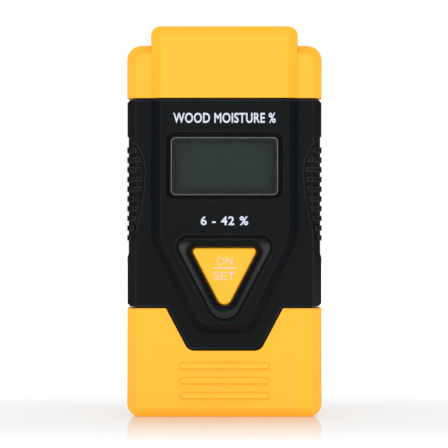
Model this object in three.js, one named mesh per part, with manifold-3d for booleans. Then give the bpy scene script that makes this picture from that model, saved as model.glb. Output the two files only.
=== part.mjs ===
// Mini two-pin moisture meter: clamshell case, push-on pin cap, tail cap and everything inside.
// Millimetres, +Z up. The meter stands on its tail and its display faces -Y.
// Inside the meter group y = 0 is the parting plane of the two case covers.

import * as THREE from "three";
import { mergeVertices } from "three/addons/utils/BufferGeometryUtils.js";
import Module from "manifold-3d";

const wasm = await Module();
wasm.setup();

// ---- Overall size and fits ----

const HEIGHT = 80;
const WIDTH = 39.9;
const DEPTH = 20;
const GAP = 0.3; // clearance between pieces that touch
const FIT = 2 * GAP; // clearance taken on both sides of a piece
const REACH = 60; // longer than any side, for cutting tools
const ARC_STEPS = 8; // straight steps in a rounded corner
const ROUND_SIDES = 32;

// ---- Cross section of the case ----

const BEZEL_PROUD = 0.8; // button bezel above the raised face
const RAISE = 2; // raised face above the flanks
const RAISE_RUN = 1.9; // width of the slope beside the raised face
const FACE_HALF = 13.1; // half width of the raised face
const EDGE_RUN = 1.75; // chamfer of the long edges, measured across
const EDGE_DROP = 2.6; // the same chamfer, measured front to back
const CASE_STEP = 0.05; // black case is this much inside the yellow ends, each side
const WALL = 2;
const FACE_WALL = 2.2;
const FACE_Y = (DEPTH - BEZEL_PROUD) / 2;
const FLANK_Y = FACE_Y - RAISE;
const CASE_HALF = WIDTH / 2 - CASE_STEP;
const INSIDE_FLANK = FLANK_Y - WALL;
const INSIDE_FACE = FACE_Y - FACE_WALL;
const SEAM = GAP / 2; // each cover stops this far from the parting plane

// ---- Heights along the meter ----

const CAP_HEIGHT = 14.7;
const CAP_BOTTOM = HEIGHT - CAP_HEIGHT;
const CASE_TOP = CAP_BOTTOM - GAP;
const CASE_BOTTOM = 22.6;
const CAVITY_TOP = CASE_TOP - 3;
const CORNER_NOTCH = 0.65; // small cut on the four outer corners of the black case

// ---- Pin cap ----

const CAP_WALL = 1.7;
const SHOULDER_TOP = HEIGHT - 3.9;
const SHOULDER_ROUND = 3;
const CREST_ROUND = 2;
const CREST_HALF = FACE_HALF + RAISE_RUN;

// ---- Tail cap ----

const TAIL_WALL = 1.7;
const TAIL_FLOOR = 2;
const TAIL_ROUND = 2.7;
const TAIL_TOP = CASE_BOTTOM - GAP;
const TAIL_RIBS = [4.4, 7.45, 10.5]; // heights of the raised ribs
const TAIL_RIB_HALF = 9.15;
const TAIL_RIB_WIDTH = 1.2;
const TAIL_RIB_PROUD = 0.3;

// ---- Tongue of the case that sits in the tail's notch ----

const TONGUE_TOP_HALF = 11.8;
const TONGUE_BOTTOM_HALF = 7.2;
const TONGUE_BOTTOM = 13.9;
const TONGUE_ROUND = 1.7;
const SPIGOT_BOTTOM = 8;
const SPIGOT_WALL = 1.2;
const SPIGOT_INSET = TAIL_WALL + GAP;

// ---- Raised shields: straight sides that bend in towards a narrower foot ----

const SHIELD_FOOT = 19.1;
const SHIELD_FOOT_ROUND = 2;
const FRONT_SHIELD = { bend: 36.3, bendRound: 8, footHalf: 4.6 };
const REAR_SHIELD = { bend: 28, bendRound: 2, footHalf: 7 };

// ---- Neck and pins under the cap ----

const NECK_HEIGHT = 5;
const NECK_TOP = CASE_TOP + NECK_HEIGHT;
const NECK_INSET = CAP_WALL + GAP;
const PIN_X = 5;
const PIN_RADIUS = 0.8;
const PIN_EXPOSED = 8;
const PIN_POINT = 3;
const PIN_THREAD_RADIUS = 1.1;
const PIN_THREAD = 5;
const SOCKET_RADIUS = 2;
const SOCKET_FLANGE = 2.6;
const SOCKET_LIP = 0.5;
const SOCKET_BELOW = 2; // end of the socket below the top of the cavity
const CONTACT_THICK = 0.3;
const CONTACT_WIDTH = 3.6;

// ---- Display ----

const WINDOW_WIDE = 22.25;
const WINDOW_TALL = 12.07;
const WINDOW_ROUND = 0.9;
const WINDOW_THICK = 1;
const WINDOW_SUNK = 0.3;
const WINDOW_LEDGE = 0.8;
const WINDOW_BEVEL = 0.6;
const DISPLAY_Z = CASE_TOP - 13.55;
const GLASS_WIDE = WINDOW_WIDE - 0.65;
const GLASS_TALL = WINDOW_TALL + 0.33;
const GLASS_THICK = 1.7;
const HOLDER_RIM = 1;
const HOLDER_WIDE = GLASS_WIDE + FIT + 2 * HOLDER_RIM;
const HOLDER_TALL = GLASS_TALL + FIT + 2 * HOLDER_RIM - 0.6;
const STRIP_TALL = 1.1;

// ---- Button and its bezel ----

const BUTTON_TOP = CASE_BOTTOM + 12;
const BUTTON_HALF = 6.9; // half width of the top edge, corners unrounded
const BUTTON_SLOPE = 0.52; // how fast the half width shrinks going down
const BUTTON_TOP_ROUND = 0.7;
const BUTTON_TIP_ROUND = 1.5;
const BUTTON_TRAVEL = 0.5;
const BUTTON_BELOW_BEZEL = 0.3;
const BUTTON_FLANGE = 0.8;
const BEZEL_TOP_RIM = 2.3;
const BEZEL_SIDE_RIM = 2.45;
const BEZEL_CREST = 1.75; // distance of the crest from the button
const BEZEL_RUN = 0.5; // width of its outer slope
const BEZEL_TOP_ROUND = 2;
const BEZEL_TIP_ROUND = 3.4;
const BEZEL_GROOVE_WIDE = 0.4;
const BEZEL_GROOVE_DEEP = 0.2;

// ---- Circuit board and what is on it ----

const BOARD_THICK = 1.2;
const BOARD_FRONT = -3.6;
const BOARD_BACK = BOARD_FRONT + BOARD_THICK;
const BOARD_BOTTOM = CASE_BOTTOM + 3.4;
const BOARD_TOP = CAVITY_TOP - 1.5;
const BOARD_HALF = CASE_HALF - WALL - 0.9;
const SWITCH_SIZE = 6;
const SWITCH_TALL = 1.5;
const PLUNGER_RADIUS = 1.5;
const SWITCH_Z = CASE_BOTTOM + 7.9;
const BUZZER_X = -8.5;
const BUZZER_Z = CASE_BOTTOM + 9.6;
const RESISTOR_ROWS = [-3, 0, 3];
const PARTS_BACK = BOARD_BACK + GAP; // where parts on the back of the board start

// ---- Battery, its well and door ----

const CELL_RADIUS = 10;
const CELL_THICK = 3.2;
const CELL_STEP = 0.5;
const WELL_WALL = 1.2;
const WELL_FLOOR = 0.8;
const WELL_RADIUS = CELL_RADIUS + 0.8;
const DOOR_THICK = 1.9;
const DOOR_HALF = WELL_RADIUS + 0.7;
const DOOR_BOTTOM = CASE_BOTTOM + 6.9;
const DOOR_LENGTH = 2 * CELL_RADIUS + 5.5;
const DOOR_TOP = DOOR_BOTTOM + DOOR_LENGTH;
const DOOR_ROUND = 1;
const DOOR_INSIDE = FACE_Y - DOOR_THICK;
const HINGE_RADIUS = 0.7;
const HINGE_Y = DOOR_INSIDE + HINGE_RADIUS;
const HINGE_Z = DOOR_BOTTOM + HINGE_RADIUS;
const HINGE_PIN_RADIUS = 0.4;
const HINGE_PIN_LENGTH = 0.8;
const TRAY_THICK = 0.8;
const CELL_Z = (DOOR_BOTTOM + DOOR_TOP) / 2;
const CELL_BACK = DOOR_INSIDE - 1.2;
const CELL_FRONT = CELL_BACK - CELL_THICK;
const WELL_BOTTOM = CELL_FRONT - CONTACT_THICK - FIT; // inner face of the well's floor
const NOTCH_RADIUS = 4;
const NOTCH_DEEP = 1;

// ---- Screws ----

const SCREW_X = 10.2;
const SCREW_Z = CAVITY_TOP - 1;
const SCREW_RADIUS = 1;
const SCREW_HEAD = 2;
const SCREW_HEAD_TALL = 1.4;
const BOSS_RADIUS = 2.1;
const BOARD_SCREW_X = 13.5;
const BOARD_SCREW_Z = CASE_BOTTOM + 5.4;
const BOARD_SCREW_RADIUS = 0.6;
const BOARD_SCREW_HEAD = 1.5;
const TAIL_SCREW_X = 9;
const TAIL_SCREW_Y = 2.8;
const TAIL_SCREW_LENGTH = 7;

// ---- Finger grips: shallow ribbed leaves moulded into both sides of the covers ----

const GRIP_TOP = CASE_BOTTOM + 34.6;
const GRIP_BOTTOM = CASE_BOTTOM + 9.1;
const GRIP_WIDEST = CASE_BOTTOM + 27.4;
const GRIP_REACH = 3.6; // how far a leaf comes in from the side of the case
const GRIP_SUNK = 0.25;
const GRIP_RIM = 0.4; // bare rim between the ribs and the edge of the leaf
const GRIP_RIBS = 10;
const GRIP_RIB_PITCH = 2;
const GRIP_RIB_WIDTH = 1.1;
const GRIP_RIB_ROOT = 0.5; // how deep a rib is rooted in the wall
const GRIP_FIRST_RIB = CASE_BOTTOM + 14.1;

// ---- Solids: making, joining and cutting ----

const TURNED = {
  x: new THREE.Matrix4().makeBasis(
    new THREE.Vector3(0, 1, 0), new THREE.Vector3(0, 0, 1), new THREE.Vector3(1, 0, 0)),
  y: new THREE.Matrix4().makeBasis(
    new THREE.Vector3(1, 0, 0), new THREE.Vector3(0, 0, 1), new THREE.Vector3(0, -1, 0)),
  z: new THREE.Matrix4(),
};

// A closed geometry as a solid that can be joined and cut.
function solidOf(geometry) {
  const bare = geometry.clone().deleteAttribute("normal").deleteAttribute("uv");
  const merged = mergeVertices(bare, 1e-4);
  const corners = merged.index.array;
  const triangles = [];
  for (let i = 0; i < corners.length; i += 3) {
    const [a, b, c] = corners.slice(i, i + 3);
    if (a !== b && b !== c && c !== a) triangles.push(a, b, c);
  }
  return new wasm.Manifold(new wasm.Mesh({
    numProp: 3,
    vertProperties: new Float32Array(merged.attributes.position.array),
    triVerts: new Uint32Array(triangles),
  }));
}

function geometryOf(solid) {
  const mesh = solid.getMesh();
  const geometry = new THREE.BufferGeometry();
  geometry.setAttribute("position", new THREE.BufferAttribute(mesh.vertProperties, 3));
  geometry.setIndex(new THREE.BufferAttribute(mesh.triVerts, 1));
  geometry.computeVertexNormals();
  return geometry;
}

function joined(solids) {
  return solids.reduce((whole, solid) => whole.add(solid));
}

function cutBy(solid, tools) {
  return tools.reduce((left, tool) => left.subtract(tool), solid);
}

// Outline with rounded corners; each corner is [across, up, radius] and they run anticlockwise.
function outline(corners) {
  const points = corners.flatMap(([x, y, radius = 0], i) => {
    const here = new THREE.Vector2(x, y);
    if (radius <= 0) return [here];
    const [lastX, lastY] = corners.at(i - 1);
    const [nextX, nextY] = corners[(i + 1) % corners.length];
    const back = new THREE.Vector2(lastX, lastY).sub(here).normalize();
    const ahead = new THREE.Vector2(nextX, nextY).sub(here).normalize();
    const half = Math.acos(THREE.MathUtils.clamp(back.dot(ahead), -1, 1)) / 2;
    const inwards = back.clone().add(ahead).normalize();
    const centre = here.clone().addScaledVector(inwards, radius / Math.sin(half));
    const start = here.clone().addScaledVector(back, radius / Math.tan(half)).sub(centre);
    const end = here.clone().addScaledVector(ahead, radius / Math.tan(half)).sub(centre);
    const clockwise = back.cross(ahead) > 0;
    const arc = new THREE.EllipseCurve(
      centre.x, centre.y, radius, radius, start.angle(), end.angle(), clockwise);
    return arc.getPoints(ARC_STEPS);
  });
  return new THREE.Shape(points);
}

function rectangle(x0, x1, y0, y1, radius = 0) {
  return outline([[x0, y0, radius], [x1, y0, radius], [x1, y1, radius], [x0, y1, radius]]);
}

// Straight prism of an outline along x, y or z. Along x the outline is (y, z), along y it is (x, z).
function prism(shape, axis, low, high) {
  const geometry = new THREE.ExtrudeGeometry(shape, { depth: high - low, bevelEnabled: false });
  geometry.applyMatrix4(TURNED[axis]);
  const start = { x: [low, 0, 0], y: [0, high, 0], z: [0, 0, low] }[axis];
  return solidOf(geometry.translate(...start));
}

// Prism along y whose front and back edges are cut by a chamfer run wide and drop deep.
function chamferedPrism(shape, low, high, run, drop, segments = 1) {
  const geometry = new THREE.ExtrudeGeometry(shape, {
    depth: high - low - 2 * drop,
    bevelThickness: drop,
    bevelSize: run,
    bevelOffset: -run,
    bevelSegments: segments,
  });
  return solidOf(geometry.applyMatrix4(TURNED.y).translate(0, high - drop, 0));
}

function block(x0, x1, y0, y1, z0, z1) {
  const geometry = new THREE.BoxGeometry(x1 - x0, y1 - y0, z1 - z0);
  return solidOf(geometry.translate((x0 + x1) / 2, (y0 + y1) / 2, (z0 + z1) / 2));
}

// Turned solid: the profile is [radius, height] pairs, turned about y or z through the centre.
function turned(profile, axis, centre) {
  const points = profile.map(([radius, height]) => new THREE.Vector2(radius, height));
  const geometry = new THREE.LatheGeometry(points, ROUND_SIDES);
  if (axis === "z") geometry.rotateX(Math.PI / 2);
  return solidOf(geometry.translate(...centre));
}

// Straight round rod along y or z, from low to high.
function rod(radius, axis, low, high, x, across) {
  const profile = [[0, low], [radius, low], [radius, high], [0, high]];
  return turned(profile, axis, axis === "y" ? [x, 0, across] : [x, across, 0]);
}

function mirrored(side, low, high) {
  return side < 0 ? [-high, -low] : [low, high];
}

// ---- Outlines that several pieces share ----

// Plan of the case at flank level, every face moved in by inset.
function casePlan(halfWidth, inset) {
  const slant = Math.hypot(EDGE_RUN, EDGE_DROP);
  const side = halfWidth - inset;
  const flank = FLANK_Y - inset;
  const flankEnd = halfWidth - EDGE_RUN - inset * (slant - EDGE_RUN) / EDGE_DROP;
  const sideEnd = FLANK_Y - EDGE_DROP - inset * (slant - EDGE_DROP) / EDGE_RUN;
  return outline([
    [-flankEnd, -flank], [flankEnd, -flank], [side, -sideEnd], [side, sideEnd],
    [flankEnd, flank], [-flankEnd, flank], [-side, sideEnd], [-side, -sideEnd],
  ]);
}

// Front view of the black case: square above, with the tongue below; grow moves it outwards.
function caseFront(grow, top, notch) {
  const lean = Math.atan((TONGUE_TOP_HALF - TONGUE_BOTTOM_HALF) / (CASE_BOTTOM - TONGUE_BOTTOM));
  const shift = grow * (1 / Math.cos(lean) - Math.tan(lean));
  const side = CASE_HALF + grow;
  const bottom = CASE_BOTTOM - grow;
  const tip = TONGUE_BOTTOM - grow;
  const tipRound = TONGUE_ROUND + grow;
  return outline([
    [-TONGUE_BOTTOM_HALF - shift, tip, tipRound], [TONGUE_BOTTOM_HALF + shift, tip, tipRound],
    [TONGUE_TOP_HALF + shift, bottom], [side - notch, bottom], [side, bottom + notch],
    [side, top - notch], [side - notch, top], [notch - side, top], [-side, top - notch],
    [-side, bottom + notch], [notch - side, bottom], [-TONGUE_TOP_HALF - shift, bottom],
  ]);
}

// Inverted triangle of the button, moved out by side on its slopes and by top on its top edge.
function buttonOutline(top, side, topRound, tipRound) {
  const lean = Math.atan(BUTTON_SLOPE);
  const across = side / Math.cos(lean);
  const high = BUTTON_TOP + top;
  const half = BUTTON_HALF + across + top * BUTTON_SLOPE;
  const tip = high - half / BUTTON_SLOPE;
  return outline([[-half, high, topRound], [0, tip, tipRound], [half, high, topRound]]);
}

function buttonGrown(grow) {
  return buttonOutline(grow, grow, BUTTON_TOP_ROUND + grow, BUTTON_TIP_ROUND + grow);
}

// Rounded leaf of a finger grip in the front view, on the right-hand side.
function gripLeaf(grow) {
  const inner = CASE_HALF - GRIP_REACH - grow;
  const outer = CASE_HALF + 1;
  const leaf = new THREE.Shape();
  leaf.moveTo(outer, GRIP_BOTTOM - grow - 2);
  leaf.lineTo(outer, GRIP_TOP + grow + 1);
  leaf.quadraticCurveTo(inner, GRIP_TOP + grow - 2, inner, GRIP_WIDEST);
  leaf.quadraticCurveTo(inner + 0.1, GRIP_BOTTOM - grow + 11, outer, GRIP_BOTTOM - grow - 2);
  return new THREE.Shape(leaf.getPoints(ARC_STEPS));
}

function onSide(shape, side) {
  if (side > 0) return shape;
  const flipped = shape.getPoints().map((point) => new THREE.Vector2(-point.x, point.y));
  return new THREE.Shape(flipped.reverse());
}

// ---- Case covers ----

// Raised shield as a slab; its outline is the foot of the slope round the raised face.
function shieldSlab({ bend, bendRound, footHalf }, low, high) {
  const top = CASE_TOP + 10;
  const lean = (FACE_HALF - footHalf) / (bend - SHIELD_FOOT);
  const grownHalf = footHalf + RAISE_RUN * (Math.hypot(1, lean) - lean);
  const grownFoot = SHIELD_FOOT - RAISE_RUN;
  const shape = outline([
    [-grownHalf, grownFoot, SHIELD_FOOT_ROUND + RAISE_RUN],
    [grownHalf, grownFoot, SHIELD_FOOT_ROUND + RAISE_RUN],
    [CREST_HALF, bend, bendRound + RAISE_RUN], [CREST_HALF, top],
    [-CREST_HALF, top], [-CREST_HALF, bend, bendRound + RAISE_RUN],
  ]);
  return chamferedPrism(shape, low, high, RAISE_RUN, RAISE);
}

// Both covers together, still solid: case, tongue, spigot in the tail and neck in the cap.
function caseBody() {
  const flanks = prism(casePlan(CASE_HALF, 0), "z", TONGUE_BOTTOM - 1, CASE_TOP + 1);
  const front = prism(caseFront(0, CASE_TOP, CORNER_NOTCH), "y", -REACH, REACH);
  const spigot = prism(casePlan(WIDTH / 2, SPIGOT_INSET), "z", SPIGOT_BOTTOM, CASE_BOTTOM + 1);
  const neck = prism(casePlan(WIDTH / 2, NECK_INSET), "z", CASE_TOP - 1, NECK_TOP);
  const shields = joined([
    shieldSlab(FRONT_SHIELD, -FACE_Y, FLANK_Y - RAISE), shieldSlab(REAR_SHIELD, RAISE - FLANK_Y, FACE_Y),
  ]);
  return joined([flanks.add(shields).intersect(front), spigot, neck]);
}

function caseHollow() {
  const narrow = SPIGOT_INSET + SPIGOT_WALL;
  return joined([
    prism(casePlan(CASE_HALF, WALL), "z", CASE_BOTTOM + WALL, CAVITY_TOP),
    prism(casePlan(WIDTH / 2, narrow), "z", SPIGOT_BOTTOM + SPIGOT_WALL, CASE_BOTTOM + WALL + 1),
  ]);
}

// Both leaves as prisms through the case, moved outwards by grow.
function gripLeaves(grow) {
  return joined([-1, 1].map((side) => prism(onSide(gripLeaf(grow), side), "y", -REACH, REACH)));
}

function gripRecesses() {
  return gripLeaves(0).subtract(prism(casePlan(CASE_HALF, GRIP_SUNK), "z", 0, HEIGHT));
}

function gripRibs() {
  const bars = Array.from({ length: GRIP_RIBS }, (_, i) => {
    const low = GRIP_FIRST_RIB + i * GRIP_RIB_PITCH - GRIP_RIB_WIDTH / 2;
    return prism(casePlan(CASE_HALF, -CASE_STEP), "z", low, low + GRIP_RIB_WIDTH);
  });
  const root = prism(casePlan(CASE_HALF, GRIP_SUNK + GRIP_RIB_ROOT), "z", 0, HEIGHT);
  return joined(bars).intersect(gripLeaves(-GRIP_RIM)).subtract(root);
}

function socketBores() {
  return joined([-1, 1].map((side) => joined([
    rod(SOCKET_RADIUS + GAP, "z", CAVITY_TOP - 1, NECK_TOP + 1, side * PIN_X, 0),
    rod(SOCKET_FLANGE + GAP, "z", NECK_TOP - SOCKET_LIP - GAP, NECK_TOP + 1, side * PIN_X, 0),
  ])));
}

// One half of the case, hollowed: side -1 is the front cover, 1 the rear cover.
function coverShell(side) {
  const [low, high] = mirrored(side, SEAM, REACH);
  const ribbed = caseBody().subtract(gripRecesses()).add(gripRibs());
  const half = ribbed.intersect(block(-REACH, REACH, low, high, -REACH, 2 * REACH));
  const shell = cutBy(half, [caseHollow(), socketBores()]);
  const bosses = [-SCREW_X, SCREW_X].map((x) => (
    rod(BOSS_RADIUS, "y", ...mirrored(side, SEAM, INSIDE_FACE + 1), x, SCREW_Z)
  ));
  return joined([shell, ...bosses]);
}

function bezelRim(grow) {
  return buttonOutline(
    BEZEL_TOP_RIM + grow, BEZEL_SIDE_RIM + grow, BEZEL_TOP_ROUND + grow, BEZEL_TIP_ROUND + grow);
}

function bezelRing() {
  const crown = -FACE_Y - BEZEL_PROUD;
  const ring = chamferedPrism(bezelRim(0), crown, 1 - FACE_Y, BEZEL_RUN, BEZEL_PROUD, 3);
  const dish = chamferedPrism(
    buttonGrown(BEZEL_CREST), crown - 2 * BEZEL_PROUD, -FACE_Y, BEZEL_CREST - GAP, BEZEL_PROUD);
  return ring.subtract(dish);
}

// Shallow groove in the raised face round the foot of the bezel.
function bezelGroove() {
  const trench = prism(bezelRim(BEZEL_GROOVE_WIDE), "y", -REACH, BEZEL_GROOVE_DEEP - FACE_Y);
  return trench.subtract(prism(bezelRim(0), "y", -REACH, 0));
}

function windowOpenings() {
  const z = DISPLAY_Z;
  const wide = WINDOW_WIDE / 2 + GAP;
  const tall = WINDOW_TALL / 2 + GAP;
  const seat = rectangle(-wide, wide, z - tall, z + tall, WINDOW_ROUND + GAP);
  const edge = rectangle(
    -wide - WINDOW_BEVEL, wide + WINDOW_BEVEL, z - tall - WINDOW_BEVEL, z + tall + WINDOW_BEVEL,
    WINDOW_ROUND + GAP + WINDOW_BEVEL);
  const seen = rectangle(
    WINDOW_LEDGE - WINDOW_WIDE / 2, WINDOW_WIDE / 2 - WINDOW_LEDGE,
    z + WINDOW_LEDGE - WINDOW_TALL / 2, z - WINDOW_LEDGE + WINDOW_TALL / 2, WINDOW_ROUND / 2);
  const seatY = WINDOW_SUNK + WINDOW_THICK + GAP - FACE_Y;
  return [
    prism(seat, "y", -REACH, seatY),
    prism(seen, "y", -REACH, 0),
    chamferedPrism(edge, -FACE_Y - WINDOW_BEVEL, WINDOW_BEVEL - FACE_Y, WINDOW_BEVEL, WINDOW_BEVEL * 0.9),
  ];
}

function frontCover() {
  const holderHalf = HOLDER_TALL / 2 + 1.2;
  const faceHollow = rectangle(
    -HOLDER_WIDE / 2 - GAP, HOLDER_WIDE / 2 + GAP, DISPLAY_Z - holderHalf, CAVITY_TOP - 1);
  const keyHollow = buttonGrown(BUTTON_FLANGE + FIT);
  const bosses = joined([-SCREW_X, SCREW_X].map((x) => (
    rod(BOSS_RADIUS, "y", -INSIDE_FACE - 1, -SEAM, x, SCREW_Z)
  )));
  const hollow = prism(faceHollow, "y", -INSIDE_FACE, -SEAM - 1).subtract(bosses);
  const posts = [-BOARD_SCREW_X, BOARD_SCREW_X].map((x) => (
    rod(BOARD_SCREW_HEAD + GAP, "y", -INSIDE_FLANK - 1, BOARD_FRONT - GAP, x, BOARD_SCREW_Z)
  ));
  const screwHoles = [-SCREW_X, SCREW_X].map((x) => (
    rod(SCREW_RADIUS + GAP, "y", 1 - INSIDE_FACE, 0, x, SCREW_Z)
  ));
  const postHoles = [-BOARD_SCREW_X, BOARD_SCREW_X].map((x) => (
    rod(BOARD_SCREW_RADIUS + GAP, "y", -INSIDE_FLANK, 0, x, BOARD_SCREW_Z)
  ));
  const shell = coverShell(-1).add(bezelRing()).subtract(hollow);
  return cutBy(joined([shell, ...posts]), [
    prism(keyHollow, "y", -INSIDE_FACE, BOARD_FRONT),
    prism(buttonGrown(GAP), "y", -REACH, 0),
    bezelGroove(),
    ...windowOpenings(),
    ...screwHoles,
    ...postHoles,
  ]);
}

// Cup for the coin cell and the tray around it, moulded into the rear cover.
function batteryWell() {
  const outer = WELL_RADIUS + WELL_WALL;
  const cup = rod(outer, "y", WELL_BOTTOM - WELL_FLOOR, INSIDE_FACE, 0, CELL_Z);
  const tray = prism(
    rectangle(-DOOR_HALF - FIT, DOOR_HALF + FIT, DOOR_BOTTOM - 1, DOOR_TOP + 1),
    "y", INSIDE_FACE - TRAY_THICK, INSIDE_FACE + 0.2);
  return cup.add(tray);
}

function rearCover() {
  const doorway = rectangle(
    -DOOR_HALF - GAP, DOOR_HALF + GAP, DOOR_BOTTOM - GAP, DOOR_TOP + GAP, DOOR_ROUND + GAP);
  const contactX = CELL_RADIUS + GAP;
  const slotHalf = CONTACT_WIDTH / 2 + GAP;
  const heads = [-SCREW_X, SCREW_X].flatMap((x) => [
    rod(SCREW_HEAD + GAP, "y", FACE_Y - SCREW_HEAD_TALL - FIT, REACH, x, SCREW_Z),
    rod(SCREW_RADIUS + GAP, "y", 0, REACH, x, SCREW_Z),
  ]);
  const tailBosses = [-TAIL_SCREW_X, TAIL_SCREW_X].map((x) => (
    rod(BOSS_RADIUS, "z", TAIL_FLOOR + 1.5, SPIGOT_BOTTOM + SPIGOT_WALL + 2, x, TAIL_SCREW_Y)
  ));
  const tailHoles = [-TAIL_SCREW_X, TAIL_SCREW_X].map((x) => (
    rod(SCREW_RADIUS + GAP, "z", 0, SPIGOT_BOTTOM + SPIGOT_WALL + 1, x, TAIL_SCREW_Y)
  ));
  return cutBy(joined([coverShell(1), batteryWell(), ...tailBosses]), [
    prism(doorway, "y", INSIDE_FACE, REACH),
    block(-DOOR_HALF - GAP, DOOR_HALF + GAP, INSIDE_FACE, REACH, DOOR_BOTTOM - GAP, CELL_Z),
    rod(WELL_RADIUS, "y", WELL_BOTTOM, REACH, 0, CELL_Z),
    rod(NOTCH_RADIUS, "y", FACE_Y - NOTCH_DEEP, REACH, 0, DOOR_TOP + GAP),
    prism(hingePinOutline(GAP), "x", -DOOR_HALF - HINGE_PIN_LENGTH - GAP, DOOR_HALF + HINGE_PIN_LENGTH + GAP),
    block(-slotHalf, slotHalf, 0, WELL_BOTTOM + 1,
      CELL_Z - 7 - GAP, CELL_Z - 7 + CONTACT_THICK + GAP),
    block(contactX - GAP, contactX + CONTACT_THICK + GAP, 0, INSIDE_FACE + GAP,
      CELL_Z - slotHalf, CELL_Z + slotHalf),
    ...heads,
    ...tailHoles,
  ]);
}

// ---- Caps on the two ends ----

function pinCap() {
  const shoulders = rectangle(-WIDTH / 2, WIDTH / 2, CAP_BOTTOM - 9, SHOULDER_TOP, SHOULDER_ROUND);
  const crest = rectangle(-CREST_HALF, CREST_HALF, CAP_BOTTOM - 9, HEIGHT, CREST_ROUND);
  const outside = joined([
    chamferedPrism(shoulders, -FLANK_Y, FLANK_Y, EDGE_RUN, EDGE_DROP),
    chamferedPrism(crest, -FACE_Y, FACE_Y, RAISE_RUN, RAISE),
  ]);
  const inside = joined([
    prism(casePlan(WIDTH / 2, CAP_WALL), "z", 0, SHOULDER_TOP - CAP_WALL),
    block(-FACE_HALF, FACE_HALF, CAP_WALL - FACE_Y, FACE_Y - CAP_WALL, 0, HEIGHT - CAP_WALL),
  ]);
  return cutBy(outside, [inside, block(-REACH, REACH, -REACH, REACH, -REACH, CAP_BOTTOM)]);
}

function tailCap() {
  const shape = rectangle(-WIDTH / 2, WIDTH / 2, 0, CASE_BOTTOM + 9, TAIL_ROUND);
  const outside = chamferedPrism(shape, -FLANK_Y, FLANK_Y, EDGE_RUN, EDGE_DROP);
  const inside = prism(casePlan(WIDTH / 2, TAIL_WALL), "z", TAIL_FLOOR, HEIGHT);
  const above = prism(caseFront(GAP, HEIGHT, 0), "y", -REACH, REACH);
  const overTop = block(-REACH, REACH, -REACH, REACH, TAIL_TOP, HEIGHT);
  const ribY = FLANK_Y + TAIL_RIB_PROUD;
  const ribs = TAIL_RIBS.flatMap((z) => {
    const low = z - TAIL_RIB_WIDTH / 2;
    const shapeOfRib = rectangle(
      -TAIL_RIB_HALF, TAIL_RIB_HALF, low, low + TAIL_RIB_WIDTH, TAIL_RIB_WIDTH * 0.49);
    return [prism(shapeOfRib, "y", -ribY, 1 - FLANK_Y), prism(shapeOfRib, "y", FLANK_Y - 1, ribY)];
  });
  const padTop = TAIL_FLOOR + 1.2;
  const pads = [-TAIL_SCREW_X, TAIL_SCREW_X].map((x) => (
    rod(SCREW_HEAD + 1, "z", TAIL_FLOOR - 1, padTop, x, TAIL_SCREW_Y)
  ));
  const screwHoles = [-TAIL_SCREW_X, TAIL_SCREW_X].flatMap((x) => [
    rod(SCREW_HEAD + GAP, "z", -1, SCREW_HEAD_TALL + FIT, x, TAIL_SCREW_Y),
    rod(SCREW_RADIUS + GAP, "z", -1, padTop + 1, x, TAIL_SCREW_Y),
  ]);
  const shell = joined([cutBy(outside, [inside, above, overTop]), ...ribs, ...pads]);
  return cutBy(shell, screwHoles);
}

// ---- Pieces on the outside ----

function displayWindow() {
  const low = DISPLAY_Z - WINDOW_TALL / 2;
  const shape = rectangle(-WINDOW_WIDE / 2, WINDOW_WIDE / 2, low, low + WINDOW_TALL, WINDOW_ROUND);
  const front = WINDOW_SUNK - FACE_Y;
  return chamferedPrism(shape, front, front + WINDOW_THICK, 0.2, 0.2);
}

function button() {
  const front = BUTTON_BELOW_BEZEL - BEZEL_PROUD - FACE_Y;
  const flangeFront = GAP - INSIDE_FACE;
  const key = chamferedPrism(buttonGrown(0), front, flangeFront + 1, 0.3, 0.3);
  const flange = prism(buttonGrown(BUTTON_FLANGE), "y", flangeFront, flangeFront + BUTTON_FLANGE);
  return cutBy(key, [block(-REACH, REACH, flangeFront + BUTTON_FLANGE / 2, REACH, 0, HEIGHT)]).add(flange);
}

function hingePinOutline(grow) {
  const circle = new THREE.Path().absarc(HINGE_Y, HINGE_Z, HINGE_PIN_RADIUS + grow, 0, 2 * Math.PI);
  return new THREE.Shape(circle.getPoints(ARC_STEPS).slice(1));
}

function batteryDoor() {
  const plate = prism(
    rectangle(-DOOR_HALF, DOOR_HALF, HINGE_Z, DOOR_TOP, DOOR_ROUND), "y", DOOR_INSIDE, FACE_Y);
  const barrel = new THREE.Path().absarc(HINGE_Y, HINGE_Z, HINGE_RADIUS, 0, 2 * Math.PI);
  const barrelShape = new THREE.Shape(barrel.getPoints(2 * ARC_STEPS).slice(1));
  const clear = FACE_Y - HINGE_Y + FIT; // the outer face starts this far above the hinge line
  const web = outline([
    [DOOR_INSIDE, HINGE_Z], [HINGE_Y + HINGE_RADIUS * 0.7, HINGE_Z - HINGE_RADIUS * 0.1],
    [FACE_Y, HINGE_Z + clear], [FACE_Y, HINGE_Z + 3], [DOOR_INSIDE, HINGE_Z + 3],
  ]);
  const below = block(-REACH, REACH, 0, REACH, 0, HINGE_Z + 2);
  return joined([
    plate.subtract(below),
    prism(barrelShape, "x", -DOOR_HALF, DOOR_HALF),
    prism(web, "x", -DOOR_HALF, DOOR_HALF),
    prism(hingePinOutline(0), "x", -DOOR_HALF - HINGE_PIN_LENGTH, DOOR_HALF + HINGE_PIN_LENGTH),
  ]);
}

// ---- Display, board and switch ----

const HOLDER_FRONT = GAP - INSIDE_FACE;
const HOLDER_BACK = BOARD_FRONT - GAP;
const GLASS_FRONT = HOLDER_FRONT + GAP;
const GLASS_BACK = GLASS_FRONT + GLASS_THICK;

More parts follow.
